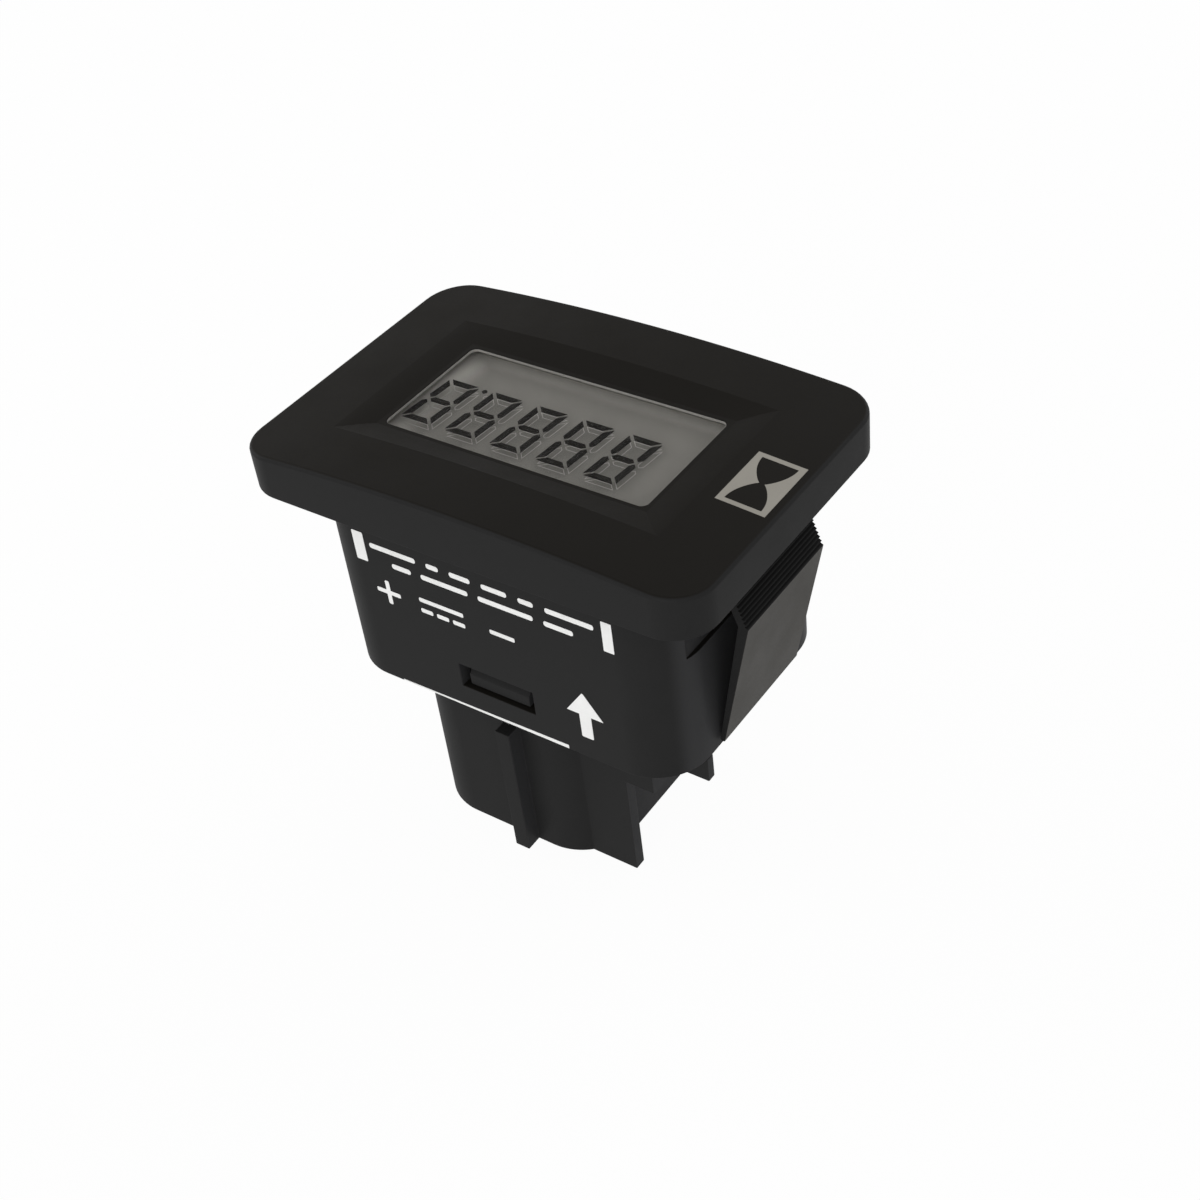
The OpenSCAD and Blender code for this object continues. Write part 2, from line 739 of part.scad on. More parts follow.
module snap_arm_right() {
    snap_arm();
}

module snap_arm_left() {
    mirror([1, 0, 0]) snap_arm();
}

case();
window_lens();
lcd_polariser();
lcd_front_glass();
lcd_segments();
lcd_rear_glass();
lcd_reflector();
lcd_holder();
zebra_strip_front();
zebra_strip_back();
circuit_board();
controller_chip();
memory_chip();
quartz_crystal();
filter_capacitor();
varistor();
supply_diode();
chip_resistors();
terminal_blade_positive();
terminal_blade_negative();
rear_cover();
snap_arm_left();
snap_arm_right();
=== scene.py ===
# %% [markdown]
# # A snap-in hour meter
# The CAD model gives every solid of the meter: the crowned bezel and body, the display's layers, the
# sprung arms, the cover with its connector and the small circuit inside. Here the same solids get the
# rounded edges, the finishes, the print and the light of a product photograph. Blender works in metres,
# so a length in millimetres is written as a number times MM.

# %% Load the frame
import json
import math

import bpy
from mathutils import Matrix, Vector

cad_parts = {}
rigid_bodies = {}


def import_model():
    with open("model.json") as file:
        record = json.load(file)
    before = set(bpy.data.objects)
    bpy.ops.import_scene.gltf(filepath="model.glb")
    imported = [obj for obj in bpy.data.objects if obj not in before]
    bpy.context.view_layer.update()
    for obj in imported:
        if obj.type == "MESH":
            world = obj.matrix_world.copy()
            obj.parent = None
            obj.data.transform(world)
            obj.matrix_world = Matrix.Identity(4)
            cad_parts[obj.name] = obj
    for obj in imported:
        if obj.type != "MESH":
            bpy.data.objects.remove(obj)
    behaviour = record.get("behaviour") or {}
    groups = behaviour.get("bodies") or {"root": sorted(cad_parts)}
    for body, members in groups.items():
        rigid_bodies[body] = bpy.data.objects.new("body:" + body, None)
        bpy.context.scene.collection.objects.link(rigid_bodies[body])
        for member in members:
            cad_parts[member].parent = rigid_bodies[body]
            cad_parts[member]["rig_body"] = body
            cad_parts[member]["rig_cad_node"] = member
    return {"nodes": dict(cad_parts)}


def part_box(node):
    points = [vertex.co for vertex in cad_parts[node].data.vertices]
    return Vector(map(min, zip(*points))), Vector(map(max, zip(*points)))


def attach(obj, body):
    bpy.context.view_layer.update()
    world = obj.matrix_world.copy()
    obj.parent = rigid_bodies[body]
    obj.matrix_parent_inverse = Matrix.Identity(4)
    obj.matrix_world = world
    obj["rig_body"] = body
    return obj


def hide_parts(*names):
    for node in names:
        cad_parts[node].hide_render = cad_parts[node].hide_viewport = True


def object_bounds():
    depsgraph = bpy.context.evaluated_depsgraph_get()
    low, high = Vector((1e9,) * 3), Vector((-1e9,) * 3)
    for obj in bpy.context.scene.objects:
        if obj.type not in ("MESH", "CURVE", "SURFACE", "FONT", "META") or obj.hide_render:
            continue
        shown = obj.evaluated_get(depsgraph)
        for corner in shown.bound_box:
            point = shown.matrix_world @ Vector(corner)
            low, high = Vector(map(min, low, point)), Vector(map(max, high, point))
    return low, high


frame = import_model()
cad = frame["nodes"]
cad_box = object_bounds()
MM = 0.001
scene = bpy.context.scene
scene.view_settings.view_transform = "Standard"
print("CAD nodes:", len(cad), "size in mm:", [round(v / MM, 2) for v in cad_box[1] - cad_box[0]])

# %% [markdown]
# ## Camera
# The photograph looks down at the right front corner with a normal lens. The eye's place, the two
# viewing angles and a small roll were found from the straight edges of the bezel and the body, so the
# camera is set from those numbers instead of being aimed by eye. A camera looks along its own -Z axis,
# so the three columns of its rotation are right, up and backward.

# %% Camera
AZIMUTH, ELEVATION, ROLL = (math.radians(a) for a in (39.191, 39.897, -7.618))
EYE = Vector((75.274, -89.603, 83.384)) * MM
forward = Vector((-math.sin(AZIMUTH) * math.cos(ELEVATION), math.cos(AZIMUTH) * math.cos(ELEVATION),
                  -math.sin(ELEVATION)))
level = Vector((math.cos(AZIMUTH), math.sin(AZIMUTH), 0))
upright = level.cross(forward)
right = level * math.cos(ROLL) + upright * math.sin(ROLL)
up = upright * math.cos(ROLL) - level * math.sin(ROLL)
bpy.ops.object.camera_add()
camera = bpy.context.object
camera.matrix_world = Matrix.Translation(EYE) @ Matrix((right, up, -forward)).transposed().to_4x4()
camera.data.sensor_width = 36
camera.data.lens = 55.1
camera.data.clip_start = 0.005
scene.camera = camera
print("camera at", [round(v, 4) for v in EYE], "lens", round(camera.data.lens, 1))

# %% [markdown]
# ## Studio
# The meter stands on a white table in front of nothing at all. A floor that only reflected the lamps
# would turn grey towards the edges of the picture, so for rays from the camera it is mixed with plain
# white, which leaves a soft shadow under the connector. The world is done the same way: it is white to the
# camera and in reflections, and a little darker as a light.

# %% Floor and world
WHITE_SHARE = 0.96
FLOOR_SIZE = 4
AMBIENT = 0.62
SEEN_RAYS = ("Is Camera Ray", "Is Glossy Ray", "Is Transmission Ray")


def node(tree, kind, **values):
    """A shader node with its properties set."""
    made = tree.nodes.new(kind)
    for name, value in values.items():
        setattr(made, name, value)
    return made


def any_ray(tree, *kinds):
    """A value that is 1 for the given kinds of ray, such as Is Camera Ray."""
    path = node(tree, "ShaderNodeLightPath")
    value = path.outputs[kinds[0]]
    for kind in kinds[1:]:
        either = node(tree, "ShaderNodeMath", operation="MAXIMUM")
        tree.links.new(value, either.inputs[0])
        tree.links.new(path.outputs[kind], either.inputs[1])
        value = either.outputs[0]
    return value


def white_floor():
    """Pale floor material: plain white to the eye but for a share that shows the shadow."""
    material = bpy.data.materials.new("white_floor")
    material.use_nodes = True
    tree = material.node_tree
    tree.nodes.clear()
    paper = node(tree, "ShaderNodeBsdfDiffuse")
    paper.inputs["Color"].default_value = (0.82, 0.82, 0.82, 1)
    glow = node(tree, "ShaderNodeEmission")
    share = node(tree, "ShaderNodeMath", operation="MULTIPLY")
    share.inputs[1].default_value = WHITE_SHARE
    mix = node(tree, "ShaderNodeMixShader")
    out = node(tree, "ShaderNodeOutputMaterial")
    tree.links.new(any_ray(tree, *SEEN_RAYS), share.inputs[0])
    tree.links.new(share.outputs[0], mix.inputs[0])
    tree.links.new(paper.outputs[0], mix.inputs[1])
    tree.links.new(glow.outputs[0], mix.inputs[2])
    tree.links.new(mix.outputs[0], out.inputs[0])
    return material


bpy.ops.object.select_all(action="DESELECT")
bpy.ops.mesh.primitive_plane_add(size=FLOOR_SIZE, location=(0, 0, cad_box[0].z))
floor = bpy.context.object
floor.name = "floor"
floor.data.materials.append(white_floor())

world = bpy.data.worlds.new("studio")
scene.world = world
world.use_nodes = True
sky = world.node_tree.nodes["Background"]
tone = node(world.node_tree, "ShaderNodeMapRange")
tone.inputs["To Min"].default_value = AMBIENT
tone.inputs["To Max"].default_value = 1
world.node_tree.links.new(any_ray(world.node_tree, *SEEN_RAYS), tone.inputs["Value"])
world.node_tree.links.new(tone.outputs[0], sky.inputs["Strength"])
sky.inputs["Color"].default_value = (1, 1, 1, 1)
print("floor at z =", round(cad_box[0].z / MM, 2), "mm, ambient light", AMBIENT)

# %% [markdown]
# Three large lamps add to that: a low one at the front, which makes the front wall lighter than the top, and
# a weaker one each at the left and at the back.

# %% Lamps
AIM = Vector((0, 0, -12)) * MM


def lamp(name, place, size, watts):
    """A square lamp that looks at the middle of the meter."""
    bpy.ops.object.light_add(type="AREA", location=place)
    made = bpy.context.object
    made.name = name
    made.data.size = size
    made.data.energy = watts
    made.rotation_euler = (AIM - Vector(place)).to_track_quat("-Z", "Y").to_euler()
    return made


lamps = [
    lamp("key", (0.14, -0.47, 0.12), 0.30, 1.15),
    lamp("fill_left", (-0.45, -0.10, 0.22), 0.35, 0.7),
    lamp("fill_back", (0.12, 0.45, 0.25), 0.35, 0.7),
]
print("lamps:", [made.name for made in lamps])

# %% [markdown]
# ## Shared surface effects
# Nearly every part of the meter is moulded, and a mould leaves a fine, even grain and a slight cloudiness
# in the gloss. One node group makes that effect for all of them: it puts out a colour that drifts a
# little, a roughness that drifts with it and a height for the bump. A second group of the same make
# stretches its noise into lines, for drawn metal.

# %% Effect groups
def effect_group(name, inputs, outputs):
    """An empty shader node group with named sockets; a socket is (name, kind, default)."""
    group = bpy.data.node_groups.new(name, "ShaderNodeTree")
    for label, kind, default in inputs:
        socket = group.interface.new_socket(label, in_out="INPUT", socket_type=kind)
        socket.default_value = default
    for label, kind in outputs:
        group.interface.new_socket(label, in_out="OUTPUT", socket_type=kind)
    return group, node(group, "NodeGroupInput"), node(group, "NodeGroupOutput")


SURFACE_IN = [
    ("Colour", "NodeSocketColor", (0.5, 0.5, 0.5, 1)), ("Drift", "NodeSocketColor", (0.4, 0.4, 0.4, 1)),
    ("Grain Scale", "NodeSocketFloat", 6000.0), ("Drift Scale", "NodeSocketFloat", 160.0),
    ("Roughness Low", "NodeSocketFloat", 0.45), ("Roughness High", "NodeSocketFloat", 0.6),
]
SURFACE_OUT = [
    ("Colour", "NodeSocketColor"), ("Roughness", "NodeSocketFloat"), ("Height", "NodeSocketFloat"),
]
GRAIN_PART = 0.45


def surface_group(name, stretch):
    """Fine grain and slow drift on Object coordinates; stretch squeezes the grain along each axis."""
    group, given, result = effect_group(name, SURFACE_IN, SURFACE_OUT)
    links = group.links
    place = node(group, "ShaderNodeTexCoord")
    turn = node(group, "ShaderNodeMapping")
    turn.inputs["Scale"].default_value = stretch
    fine = node(group, "ShaderNodeTexNoise")
    fine.inputs["Detail"].default_value = 3
    slow = node(group, "ShaderNodeTexNoise")
    slow.inputs["Detail"].default_value = 4
    slow.inputs["Roughness"].default_value = 0.6
    links.new(place.outputs["Object"], turn.inputs["Vector"])
    links.new(turn.outputs[0], fine.inputs["Vector"])
    links.new(given.outputs["Grain Scale"], fine.inputs["Scale"])
    links.new(place.outputs["Object"], slow.inputs["Vector"])
    links.new(given.outputs["Drift Scale"], slow.inputs["Scale"])
    both = node(group, "ShaderNodeMath", operation="MULTIPLY_ADD")
    links.new(fine.outputs[0], both.inputs[0])
    both.inputs[1].default_value = GRAIN_PART
    links.new(slow.outputs[0], both.inputs[2])
    spread = node(group, "ShaderNodeMapRange")
    spread.inputs["From Min"].default_value = 0.45
    spread.inputs["From Max"].default_value = 1.0
    links.new(both.outputs[0], spread.inputs["Value"])
    blend = node(group, "ShaderNodeMix", data_type="RGBA")
    links.new(spread.outputs[0], blend.inputs["Factor"])
    links.new(given.outputs["Colour"], blend.inputs[6])
    links.new(given.outputs["Drift"], blend.inputs[7])
    gloss = node(group, "ShaderNodeMapRange")
    links.new(spread.outputs[0], gloss.inputs["Value"])
    links.new(given.outputs["Roughness Low"], gloss.inputs["To Min"])
    links.new(given.outputs["Roughness High"], gloss.inputs["To Max"])
    links.new(blend.outputs[2], result.inputs["Colour"])
    links.new(gloss.outputs[0], result.inputs["Roughness"])
    links.new(fine.outputs[0], result.inputs["Height"])
    return group


mould_grain = surface_group("mould_grain", (1, 1, 1))
drawn_metal = surface_group("drawn_metal", (1, 1, 0.03))
print("effect groups:", mould_grain.name, drawn_metal.name)

# %% [markdown]
# Every finish is a Principled shader fed by one of the two groups. It is given by its two colours, the range
# of its roughness and a few constants, which are set on the shader itself.

# %% Material maker
RELIEF = 0.02 * MM


def material_of(name, colour, drift, rough, grain=6000.0, drift_scale=160.0, bump=0.1, group=mould_grain,
                metallic=0.0, specular=0.3, alpha=1.0):
    """A Principled material fed by a surface group; constants go straight onto the shader."""
    material = bpy.data.materials.new(name)
    material.use_nodes = True
    tree = material.node_tree
    shader = tree.nodes["Principled BSDF"]
    shader.inputs["Metallic"].default_value = metallic
    shader.inputs["Specular IOR Level"].default_value = specular
    shader.inputs["Alpha"].default_value = alpha
    surface = node(tree, "ShaderNodeGroup", node_tree=group)
    surface.inputs["Colour"].default_value = (*colour, 1)
    surface.inputs["Drift"].default_value = (*drift, 1)
    surface.inputs["Grain Scale"].default_value = grain
    surface.inputs["Drift Scale"].default_value = drift_scale
    surface.inputs["Roughness Low"].default_value = rough[0]
    surface.inputs["Roughness High"].default_value = rough[1]
    relief = node(tree, "ShaderNodeBump")
    relief.inputs["Strength"].default_value = bump
    relief.inputs["Distance"].default_value = RELIEF
    tree.links.new(surface.outputs["Colour"], shader.inputs["Base Color"])
    tree.links.new(surface.outputs["Roughness"], shader.inputs["Roughness"])
    tree.links.new(surface.outputs["Height"], relief.inputs["Height"])
    tree.links.new(relief.outputs[0], shader.inputs["Normal"])
    return material


def wear(piece, material):
    """Gives a piece or a CAD node its material."""
    if piece.material_slots:
        piece.material_slots[0].material = material
    else:
        piece.data.materials.append(material)
    return piece


print("material maker ready, relief", RELIEF / MM, "mm")

# %% [markdown]
# ## Moulded shells
# The case, the rear cover and the two arms are black mouldings. Every edge of a real moulding has a small
# radius that catches the light, which a CAD solid lacks. The solid itself is never touched, so each shell
# is a copy: its loose triangles are merged, flat areas become whole faces, a Bevel rounds the edges and
# the faces are smoothed up to an angle. Weighted normals then keep the large flat faces flat where they run
# into a curve. The copy stands for its CAD node and rides on the same body.

# %% Shells with rounded edges
EDGE, ARM_EDGE = 0.08 * MM, 0.02 * MM
MERGE_WITHIN = 0.0005 * MM
FLAT_WITHIN, SMOOTH_UP_TO, ROUND_FROM = (math.radians(a) for a in (0.08, 30, 40))


def copy_of_node(name, new_name):
    """A merged copy of a CAD node as an ordinary object, with its flat areas as whole faces."""
    bpy.ops.object.select_all(action="DESELECT")
    bpy.context.view_layer.objects.active = cad[name]
    cad[name].select_set(True)
    bpy.ops.object.duplicate()
    copy = bpy.context.object
    copy.name = copy.data.name = new_name
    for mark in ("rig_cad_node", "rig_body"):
        del copy[mark]
    copy.parent = None
    bpy.ops.object.mode_set(mode="EDIT")
    bpy.ops.mesh.select_all(action="SELECT")
    bpy.ops.mesh.customdata_custom_splitnormals_clear()
    bpy.ops.mesh.remove_doubles(threshold=MERGE_WITHIN)
    bpy.ops.mesh.dissolve_limited(angle_limit=FLAT_WITHIN)
    bpy.ops.object.mode_set(mode="OBJECT")
    return copy


def rounded_shell(name, body, edge, steps=2):
    """A merged copy of a CAD node with its edges rounded; it replaces the node and rides on its body."""
    shell = copy_of_node(name, name + "_shell")
    rounding = shell.modifiers.new("edge_radius", "BEVEL")
    rounding.width = edge
    rounding.segments = steps
    rounding.limit_method = "ANGLE"
    rounding.angle_limit = ROUND_FROM
    rounding.use_clamp_overlap = False
    bpy.ops.object.modifier_apply(modifier=rounding.name)
    bpy.ops.object.shade_smooth_by_angle(angle=SMOOTH_UP_TO)
    even = shell.modifiers.new("even_normals", "WEIGHTED_NORMAL")
    even.keep_sharp = True
    bpy.ops.object.modifier_apply(modifier=even.name)
    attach(shell, body)
    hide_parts(name)
    print(shell.name, len(shell.data.polygons), "faces")
    return shell


case_shell = rounded_shell("case", "housing", EDGE)
cover_shell = rounded_shell("rear_cover", "housing", EDGE)
arm_shells = [rounded_shell("snap_arm_" + side, side + "_arm", ARM_EDGE, 1) for side in ("left", "right")]

# %% [markdown]
# The top of the bezel is curved so little that the small flat faces it is made of would show as streaks. Its
# shape is known exactly, though: the crown is a shallow arch along X, the long slopes of the recess are ruled
# from the ledge round the window up to the crown, and its ends roll up along a quarter of a sine. So each
# face is matched to the surface that it follows, and its corners get the true direction of that surface.
# Where two surfaces meet, their directions differ, which keeps the crease between them sharp.

# %% True directions of the top
HALF, TOP, CROWN = cad_box[1].x, cad_box[1].z, 1.0 * MM
LEDGE_X, LEDGE_Y, LEDGE_Z = 12.6 * MM, 6.25 * MM, 3.8 * MM
CREST_X, CREST_Y = 15.2 * MM, 8.5 * MM
NEAR, ALIKE = 0.02 * MM, math.cos(math.radians(4))


def crown(p):
    """Height and direction of the arched top."""
    return TOP - CROWN * (p.x / HALF) ** 2, Vector((2 * CROWN * p.x / HALF ** 2, 0, 1))


def slope(p):
    """Height and direction of the long slopes of the recess."""
    top, way = crown(p)
    share = (abs(p.y) - LEDGE_Y) / (CREST_Y - LEDGE_Y)
    fall = math.copysign((top - LEDGE_Z) / (CREST_Y - LEDGE_Y), -p.y)
    return LEDGE_Z + share * (top - LEDGE_Z), Vector((share * way.x, fall, 1))


def roll(p):
    """Height and direction of the rolled ends of the recess."""
    run = CREST_X - LEDGE_X
    rise = crown(Vector((CREST_X, 0, 0)))[0] - LEDGE_Z
    turn = math.radians(90) * min(max((abs(p.x) - LEDGE_X) / run, 0), 1)
    fall = math.copysign(rise * math.cos(turn) * math.radians(90) / run, -p.x)
    return LEDGE_Z + rise * math.sin(turn), Vector((fall, 0, 1))


def ledge(p):
    """Height and direction of the flat ledge round the window."""
    return LEDGE_Z, Vector((0, 0, 1))


def true_directions(shell):
    """Gives the corners of the top faces the direction of the surface that their face follows."""
    mesh = shell.data
    ways = [corner.vector.copy() for corner in mesh.corner_normals]
    found = dict.fromkeys(("crown", "slope", "roll", "ledge"), 0)
    for face in mesh.polygons:
        best, match = None, ALIKE
        for surface in (crown, slope, roll, ledge):
            height, way = surface(face.center)
            alike = way.normalized().dot(face.normal)
            if abs(height - face.center.z) < NEAR and alike > match:
                best, match = surface, alike
        if best:
            found[best.__name__] += 1
            for corner in face.loop_indices:
                spot = mesh.vertices[mesh.loops[corner].vertex_index].co
                ways[corner] = best(spot)[1].normalized()
    mesh.normals_split_custom_set(ways)
    return found


print("top faces:", true_directions(case_shell))

# %% [markdown]
# The plastic is black. What faces up on the bezel is painted warmer and darker than the walls, which are a
# neutral grey: painted shade. What faces left, right or down below the bezel is painted a little paler again:
# painted light that lifts the shade there. The finish mixes these colours by the direction that the surface
# faces. All the mouldings share the mould grain. The gloss is kept low, because black plastic in white
# surroundings otherwise turns grey.

# %% Plastic finishes
def math_node(tree, operation, first, second):
    """A Math node; each input is a socket or a plain number."""
    made = node(tree, "ShaderNodeMath", operation=operation)
    for socket, value in zip(made.inputs, (first, second)):
        if isinstance(value, (int, float)):
            socket.default_value = value
        else:
            tree.links.new(value, socket)
    return made.outputs[0]


def ramp(tree, value, low, high):
    """A mask that rises smoothly from 0 at low to 1 at high."""
    made = node(tree, "ShaderNodeMapRange", interpolation_type="SMOOTHSTEP")
    made.inputs["From Min"].default_value = low
    made.inputs["From Max"].default_value = high
    tree.links.new(value, made.inputs["Value"])
    return made.outputs[0]


def tint_over(material, mask, colour):
    """Lays a colour over a material where a mask is 1, and keeps the grain of what is below it."""
    tree = material.node_tree
    base = tree.nodes["Principled BSDF"].inputs["Base Color"]
    over = node(tree, "ShaderNodeMix", data_type="RGBA")
    over.inputs[7].default_value = (*colour, 1)
    tree.links.new(mask, over.inputs["Factor"])
    tree.links.new(base.links[0].from_socket, over.inputs[6])
    tree.links.new(over.outputs[2], base)


def place_parts(material):
    """Object coordinates and the object's own surface direction as separate numbers."""
    tree = material.node_tree
    coordinates = node(tree, "ShaderNodeTexCoord")
    parts = []
    for output in ("Object", "Normal"):
        split = node(tree, "ShaderNodeSeparateXYZ")
        tree.links.new(coordinates.outputs[output], split.inputs[0])
        parts.append(split.outputs)
    return parts


GLOSS = 0.04
PAINTED_FILL_GREY = (0.030, 0.030, 0.031)
PAINTED_TOP_SHADE = (0.0092, 0.0083, 0.0070)
PAINTED_FILL_FADE = 0.1 * MM


def painted_fill_light(material, below):
    """Paints light on faces that look left, right or down below a height by making them paler; returns the
    surface direction.
    """
    tree = material.node_tree
    place, facing = place_parts(material)
    sideways = math_node(tree, "ABSOLUTE", facing["X"], 0)
    fill_facing = math_node(tree, "MAXIMUM", sideways, math_node(tree, "MULTIPLY", facing["Z"], -1))
    under = ramp(tree, place["Z"], below, below - PAINTED_FILL_FADE)
    tint_over(material, math_node(tree, "MULTIPLY", ramp(tree, fill_facing, 0.75, 0.95), under), PAINTED_FILL_GREY)
    return facing


bezel_black = material_of("bezel_black", (0.0150, 0.0150, 0.0150), (0.0180, 0.0180, 0.0180), (0.42, 0.56),
                          bump=0.12, specular=GLOSS)
# Painted light: faces that look left, right or down below the bezel are painted paler.
facing = painted_fill_light(bezel_black, -0.1 * MM)
# Painted shade: the faces that look up are painted warmer and darker.
tint_over(bezel_black, ramp(bezel_black.node_tree, facing["Z"], 0.75, 0.97), PAINTED_TOP_SHADE)
cover_black = material_of("cover_black", (0.0155, 0.0155, 0.0155), (0.0185, 0.0185, 0.0185), (0.46, 0.6),
                          bump=0.14, specular=GLOSS)
# Painted light: the cover's faces that look left, right or down are painted paler.
painted_fill_light(cover_black, 0)
wear(case_shell, bezel_black)
wear(cover_shell, cover_black)
print("bezel and cover dressed")

# %% [markdown]
# The arms are black. Their broad outer leg is smooth and painted light, a painted sheen; the head above the
# ridge is dark, with painted shade in the grooves between its teeth; and the narrow sides are as black as the
# body. All three are picked from Object coordinates: how far a point lies from the body's middle, how high it
# is and which way it faces.

# %% Arm finish
RIDGE_Z, RIDGE_X = -4.9 * MM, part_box("snap_arm_right")[1].x
HEAD_SLOPE, TOOTH = math.tan(math.radians(20)), 0.17 * MM
PAINTED_LEG_SHEEN, PAINTED_GROOVE_SHADE = (0.060, 0.0575, 0.0530), (0.0018, 0.0018, 0.0018)
FADE = 0.05 * MM
arm_sheen_and_shade = material_of("arm_sheen_and_shade", (0.0125, 0.0125, 0.0125), (0.0155, 0.0155, 0.0155), (0.45, 0.6),
                       bump=0.14, specular=GLOSS)
tree = arm_sheen_and_shade.node_tree
place, facing = place_parts(arm_sheen_and_shade)
reach = math_node(tree, "ABSOLUTE", place["X"], 0)
outward = math_node(tree, "MULTIPLY", facing["X"], math_node(tree, "SIGN", place["X"], 0))
below_ridge = ramp(tree, place["Z"], RIDGE_Z, RIDGE_Z - FADE)
# Painted sheen: the outward face of the leg below the ridge is painted light.
leg_sheen = math_node(tree, "MULTIPLY", ramp(tree, outward, 0.55, 0.8), below_ridge)
tint_over(arm_sheen_and_shade, leg_sheen, PAINTED_LEG_SHEEN)
height = math_node(tree, "SUBTRACT", place["Z"], RIDGE_Z)
crest = math_node(tree, "SUBTRACT", RIDGE_X, math_node(tree, "MULTIPLY", height, HEAD_SLOPE))
depth = math_node(tree, "SUBTRACT", crest, reach)
above_ridge = ramp(tree, height, 0, FADE)
# Painted shade: the grooves between the teeth are painted black.
groove_shade = math_node(tree, "MULTIPLY", ramp(tree, depth, 0.15 * TOOTH, 0.75 * TOOTH), above_ridge)
off_the_sides = ramp(tree, math_node(tree, "ABSOLUTE", facing["Y"], 0), 0.8, 0.5)
tint_over(arm_sheen_and_shade, math_node(tree, "MULTIPLY", groove_shade, off_the_sides), PAINTED_GROOVE_SHADE)
for shell in arm_shells:
    wear(shell, arm_sheen_and_shade)
print("arms dressed, ridge at x =", round(RIDGE_X / MM, 2), "mm")

# %% [markdown]
# ## Display
# The window shows a reflective display: a clear lens, a polarising film, two glasses with the dark digits
# between them and a grey reflector at the back. Real glass would bend the light and make the picture slow
# and grainy, so the clear layers are made see-through with a low alpha, which keeps the digits sharp and
# lets the lamps reach the reflector. A ray passes eight such faces on its way in and as many on its way to
# a lamp, so the number of see-through faces that a ray may cross is raised. The reflector is painted paler
# towards the back and the left, where it runs on under the face and gets less light: painted light that evens
# out the shade there.

# %% Display finishes
CLEAR, FILM = (0.05, 0.05, 0.048), (0.05, 0.048, 0.044)
PAINTED_EDGE_LIGHT = (0.88, 0.85, 0.78)
BACK_EDGE, LEFT_EDGE = (4.8 * MM, 7.0 * MM), (-9.6 * MM, -12.8 * MM)


def clear_sheet(name, tint, alpha):
    """A see-through layer whose haze drifts a little over its face."""
    return material_of(name, tint, tuple(0.9 * c for c in tint), (0.3, 0.4), grain=9000.0, drift_scale=120.0,
                       bump=0.01, specular=0.05, alpha=alpha)


scene.cycles.transparent_max_bounces = 32
wear(cad["window_lens"], clear_sheet("lens_clear", CLEAR, 0.05))
wear(cad["lcd_polariser"], clear_sheet("polariser_film", FILM, 0.08))
wear(cad["lcd_front_glass"], clear_sheet("front_glass", CLEAR, 0.04))
wear(cad["lcd_rear_glass"], clear_sheet("rear_glass", CLEAR, 0.06))
reflector = material_of("reflector_grey", (0.345, 0.332, 0.302), (0.365, 0.352, 0.322), (0.5, 0.65),
                        grain=12000.0, drift_scale=60.0, bump=0.05, specular=0.1)
place = place_parts(reflector)[0]
tree = reflector.node_tree
# Painted light: the reflector is painted paler towards the back and the left, where the face shades it.
back = ramp(tree, place["Y"], *BACK_EDGE)
left = ramp(tree, place["X"], *LEFT_EDGE)
tint_over(reflector, math_node(tree, "MAXIMUM", back, left), PAINTED_EDGE_LIGHT)
wear(cad["lcd_reflector"], reflector)
wear(cad["lcd_segments"], material_of("segment_dark", (0.0075, 0.0068, 0.0058), (0.0090, 0.0082, 0.0070),
                                      (0.5, 0.6), bump=0.02, specular=0.05))
print("display layers dressed")

# %% [markdown]
# The outline of every digit is painted once more on the reflector as a fine pale line, painted light that looks
# a little lower in the view. That line is a copy of the segments: only the faces that face up are kept, each is
# inset by the width of the line, the middles are deleted and what is left gets a little thickness.

# %% Painted outlines on the reflector
FACES_UP = 0.9


def painted_digit_echo(line, thickness):
    """Painted light: pale outlines of all segments, just above the reflector."""
    outlines = copy_of_node("lcd_segments", "painted_digit_echo")
    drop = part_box("lcd_reflector")[1].z + 2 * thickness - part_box("lcd_segments")[1].z
    bpy.ops.object.mode_set(mode="EDIT")
    bpy.ops.mesh.select_mode(type="FACE")
    bpy.ops.mesh.select_all(action="DESELECT")
    bpy.ops.object.mode_set(mode="OBJECT")
    for face in outlines.data.polygons:
        face.select = face.normal.z < FACES_UP
    bpy.ops.object.mode_set(mode="EDIT")
    bpy.ops.mesh.delete(type="FACE")
    bpy.ops.mesh.select_all(action="SELECT")
    bpy.ops.mesh.inset(thickness=line, use_individual=True)
    bpy.ops.mesh.delete(type="FACE")
    bpy.ops.mesh.select_all(action="SELECT")
    bpy.ops.transform.translate(value=(0, 0, drop))
    bpy.ops.object.mode_set(mode="OBJECT")
    body = outlines.modifiers.new("height", "SOLIDIFY")
    body.thickness = thickness
    body.offset = -1
    bpy.ops.object.modifier_apply(modifier=body.name)
    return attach(outlines, "housing")


# Painted light: pale outlines of the digits on the reflector.
digit_echo = wear(painted_digit_echo(0.06 * MM, 0.004 * MM),
             material_of("painted_echo_pale", (0.80, 0.78, 0.72), (0.86, 0.84, 0.78), (0.5, 0.6), bump=0.02,
                         specular=0.05))
print(digit_echo.name, len(digit_echo.data.polygons), "faces")

# %% [markdown]
# The walls of the window opening are paler than the face where the edge of the lens lies against them; that
# paleness is a painted highlight of the lit glass edge. A thin ring does that: a plane with rounded corners,
# inset to leave a border, its middle removed and the border thickened.

# %% Lens rim, a painted highlight
RIM_ROOM, RIM_WALL = 0.095 * MM, 0.02 * MM
RIM_CORNER, RIM_STEPS = 0.6 * MM, 6


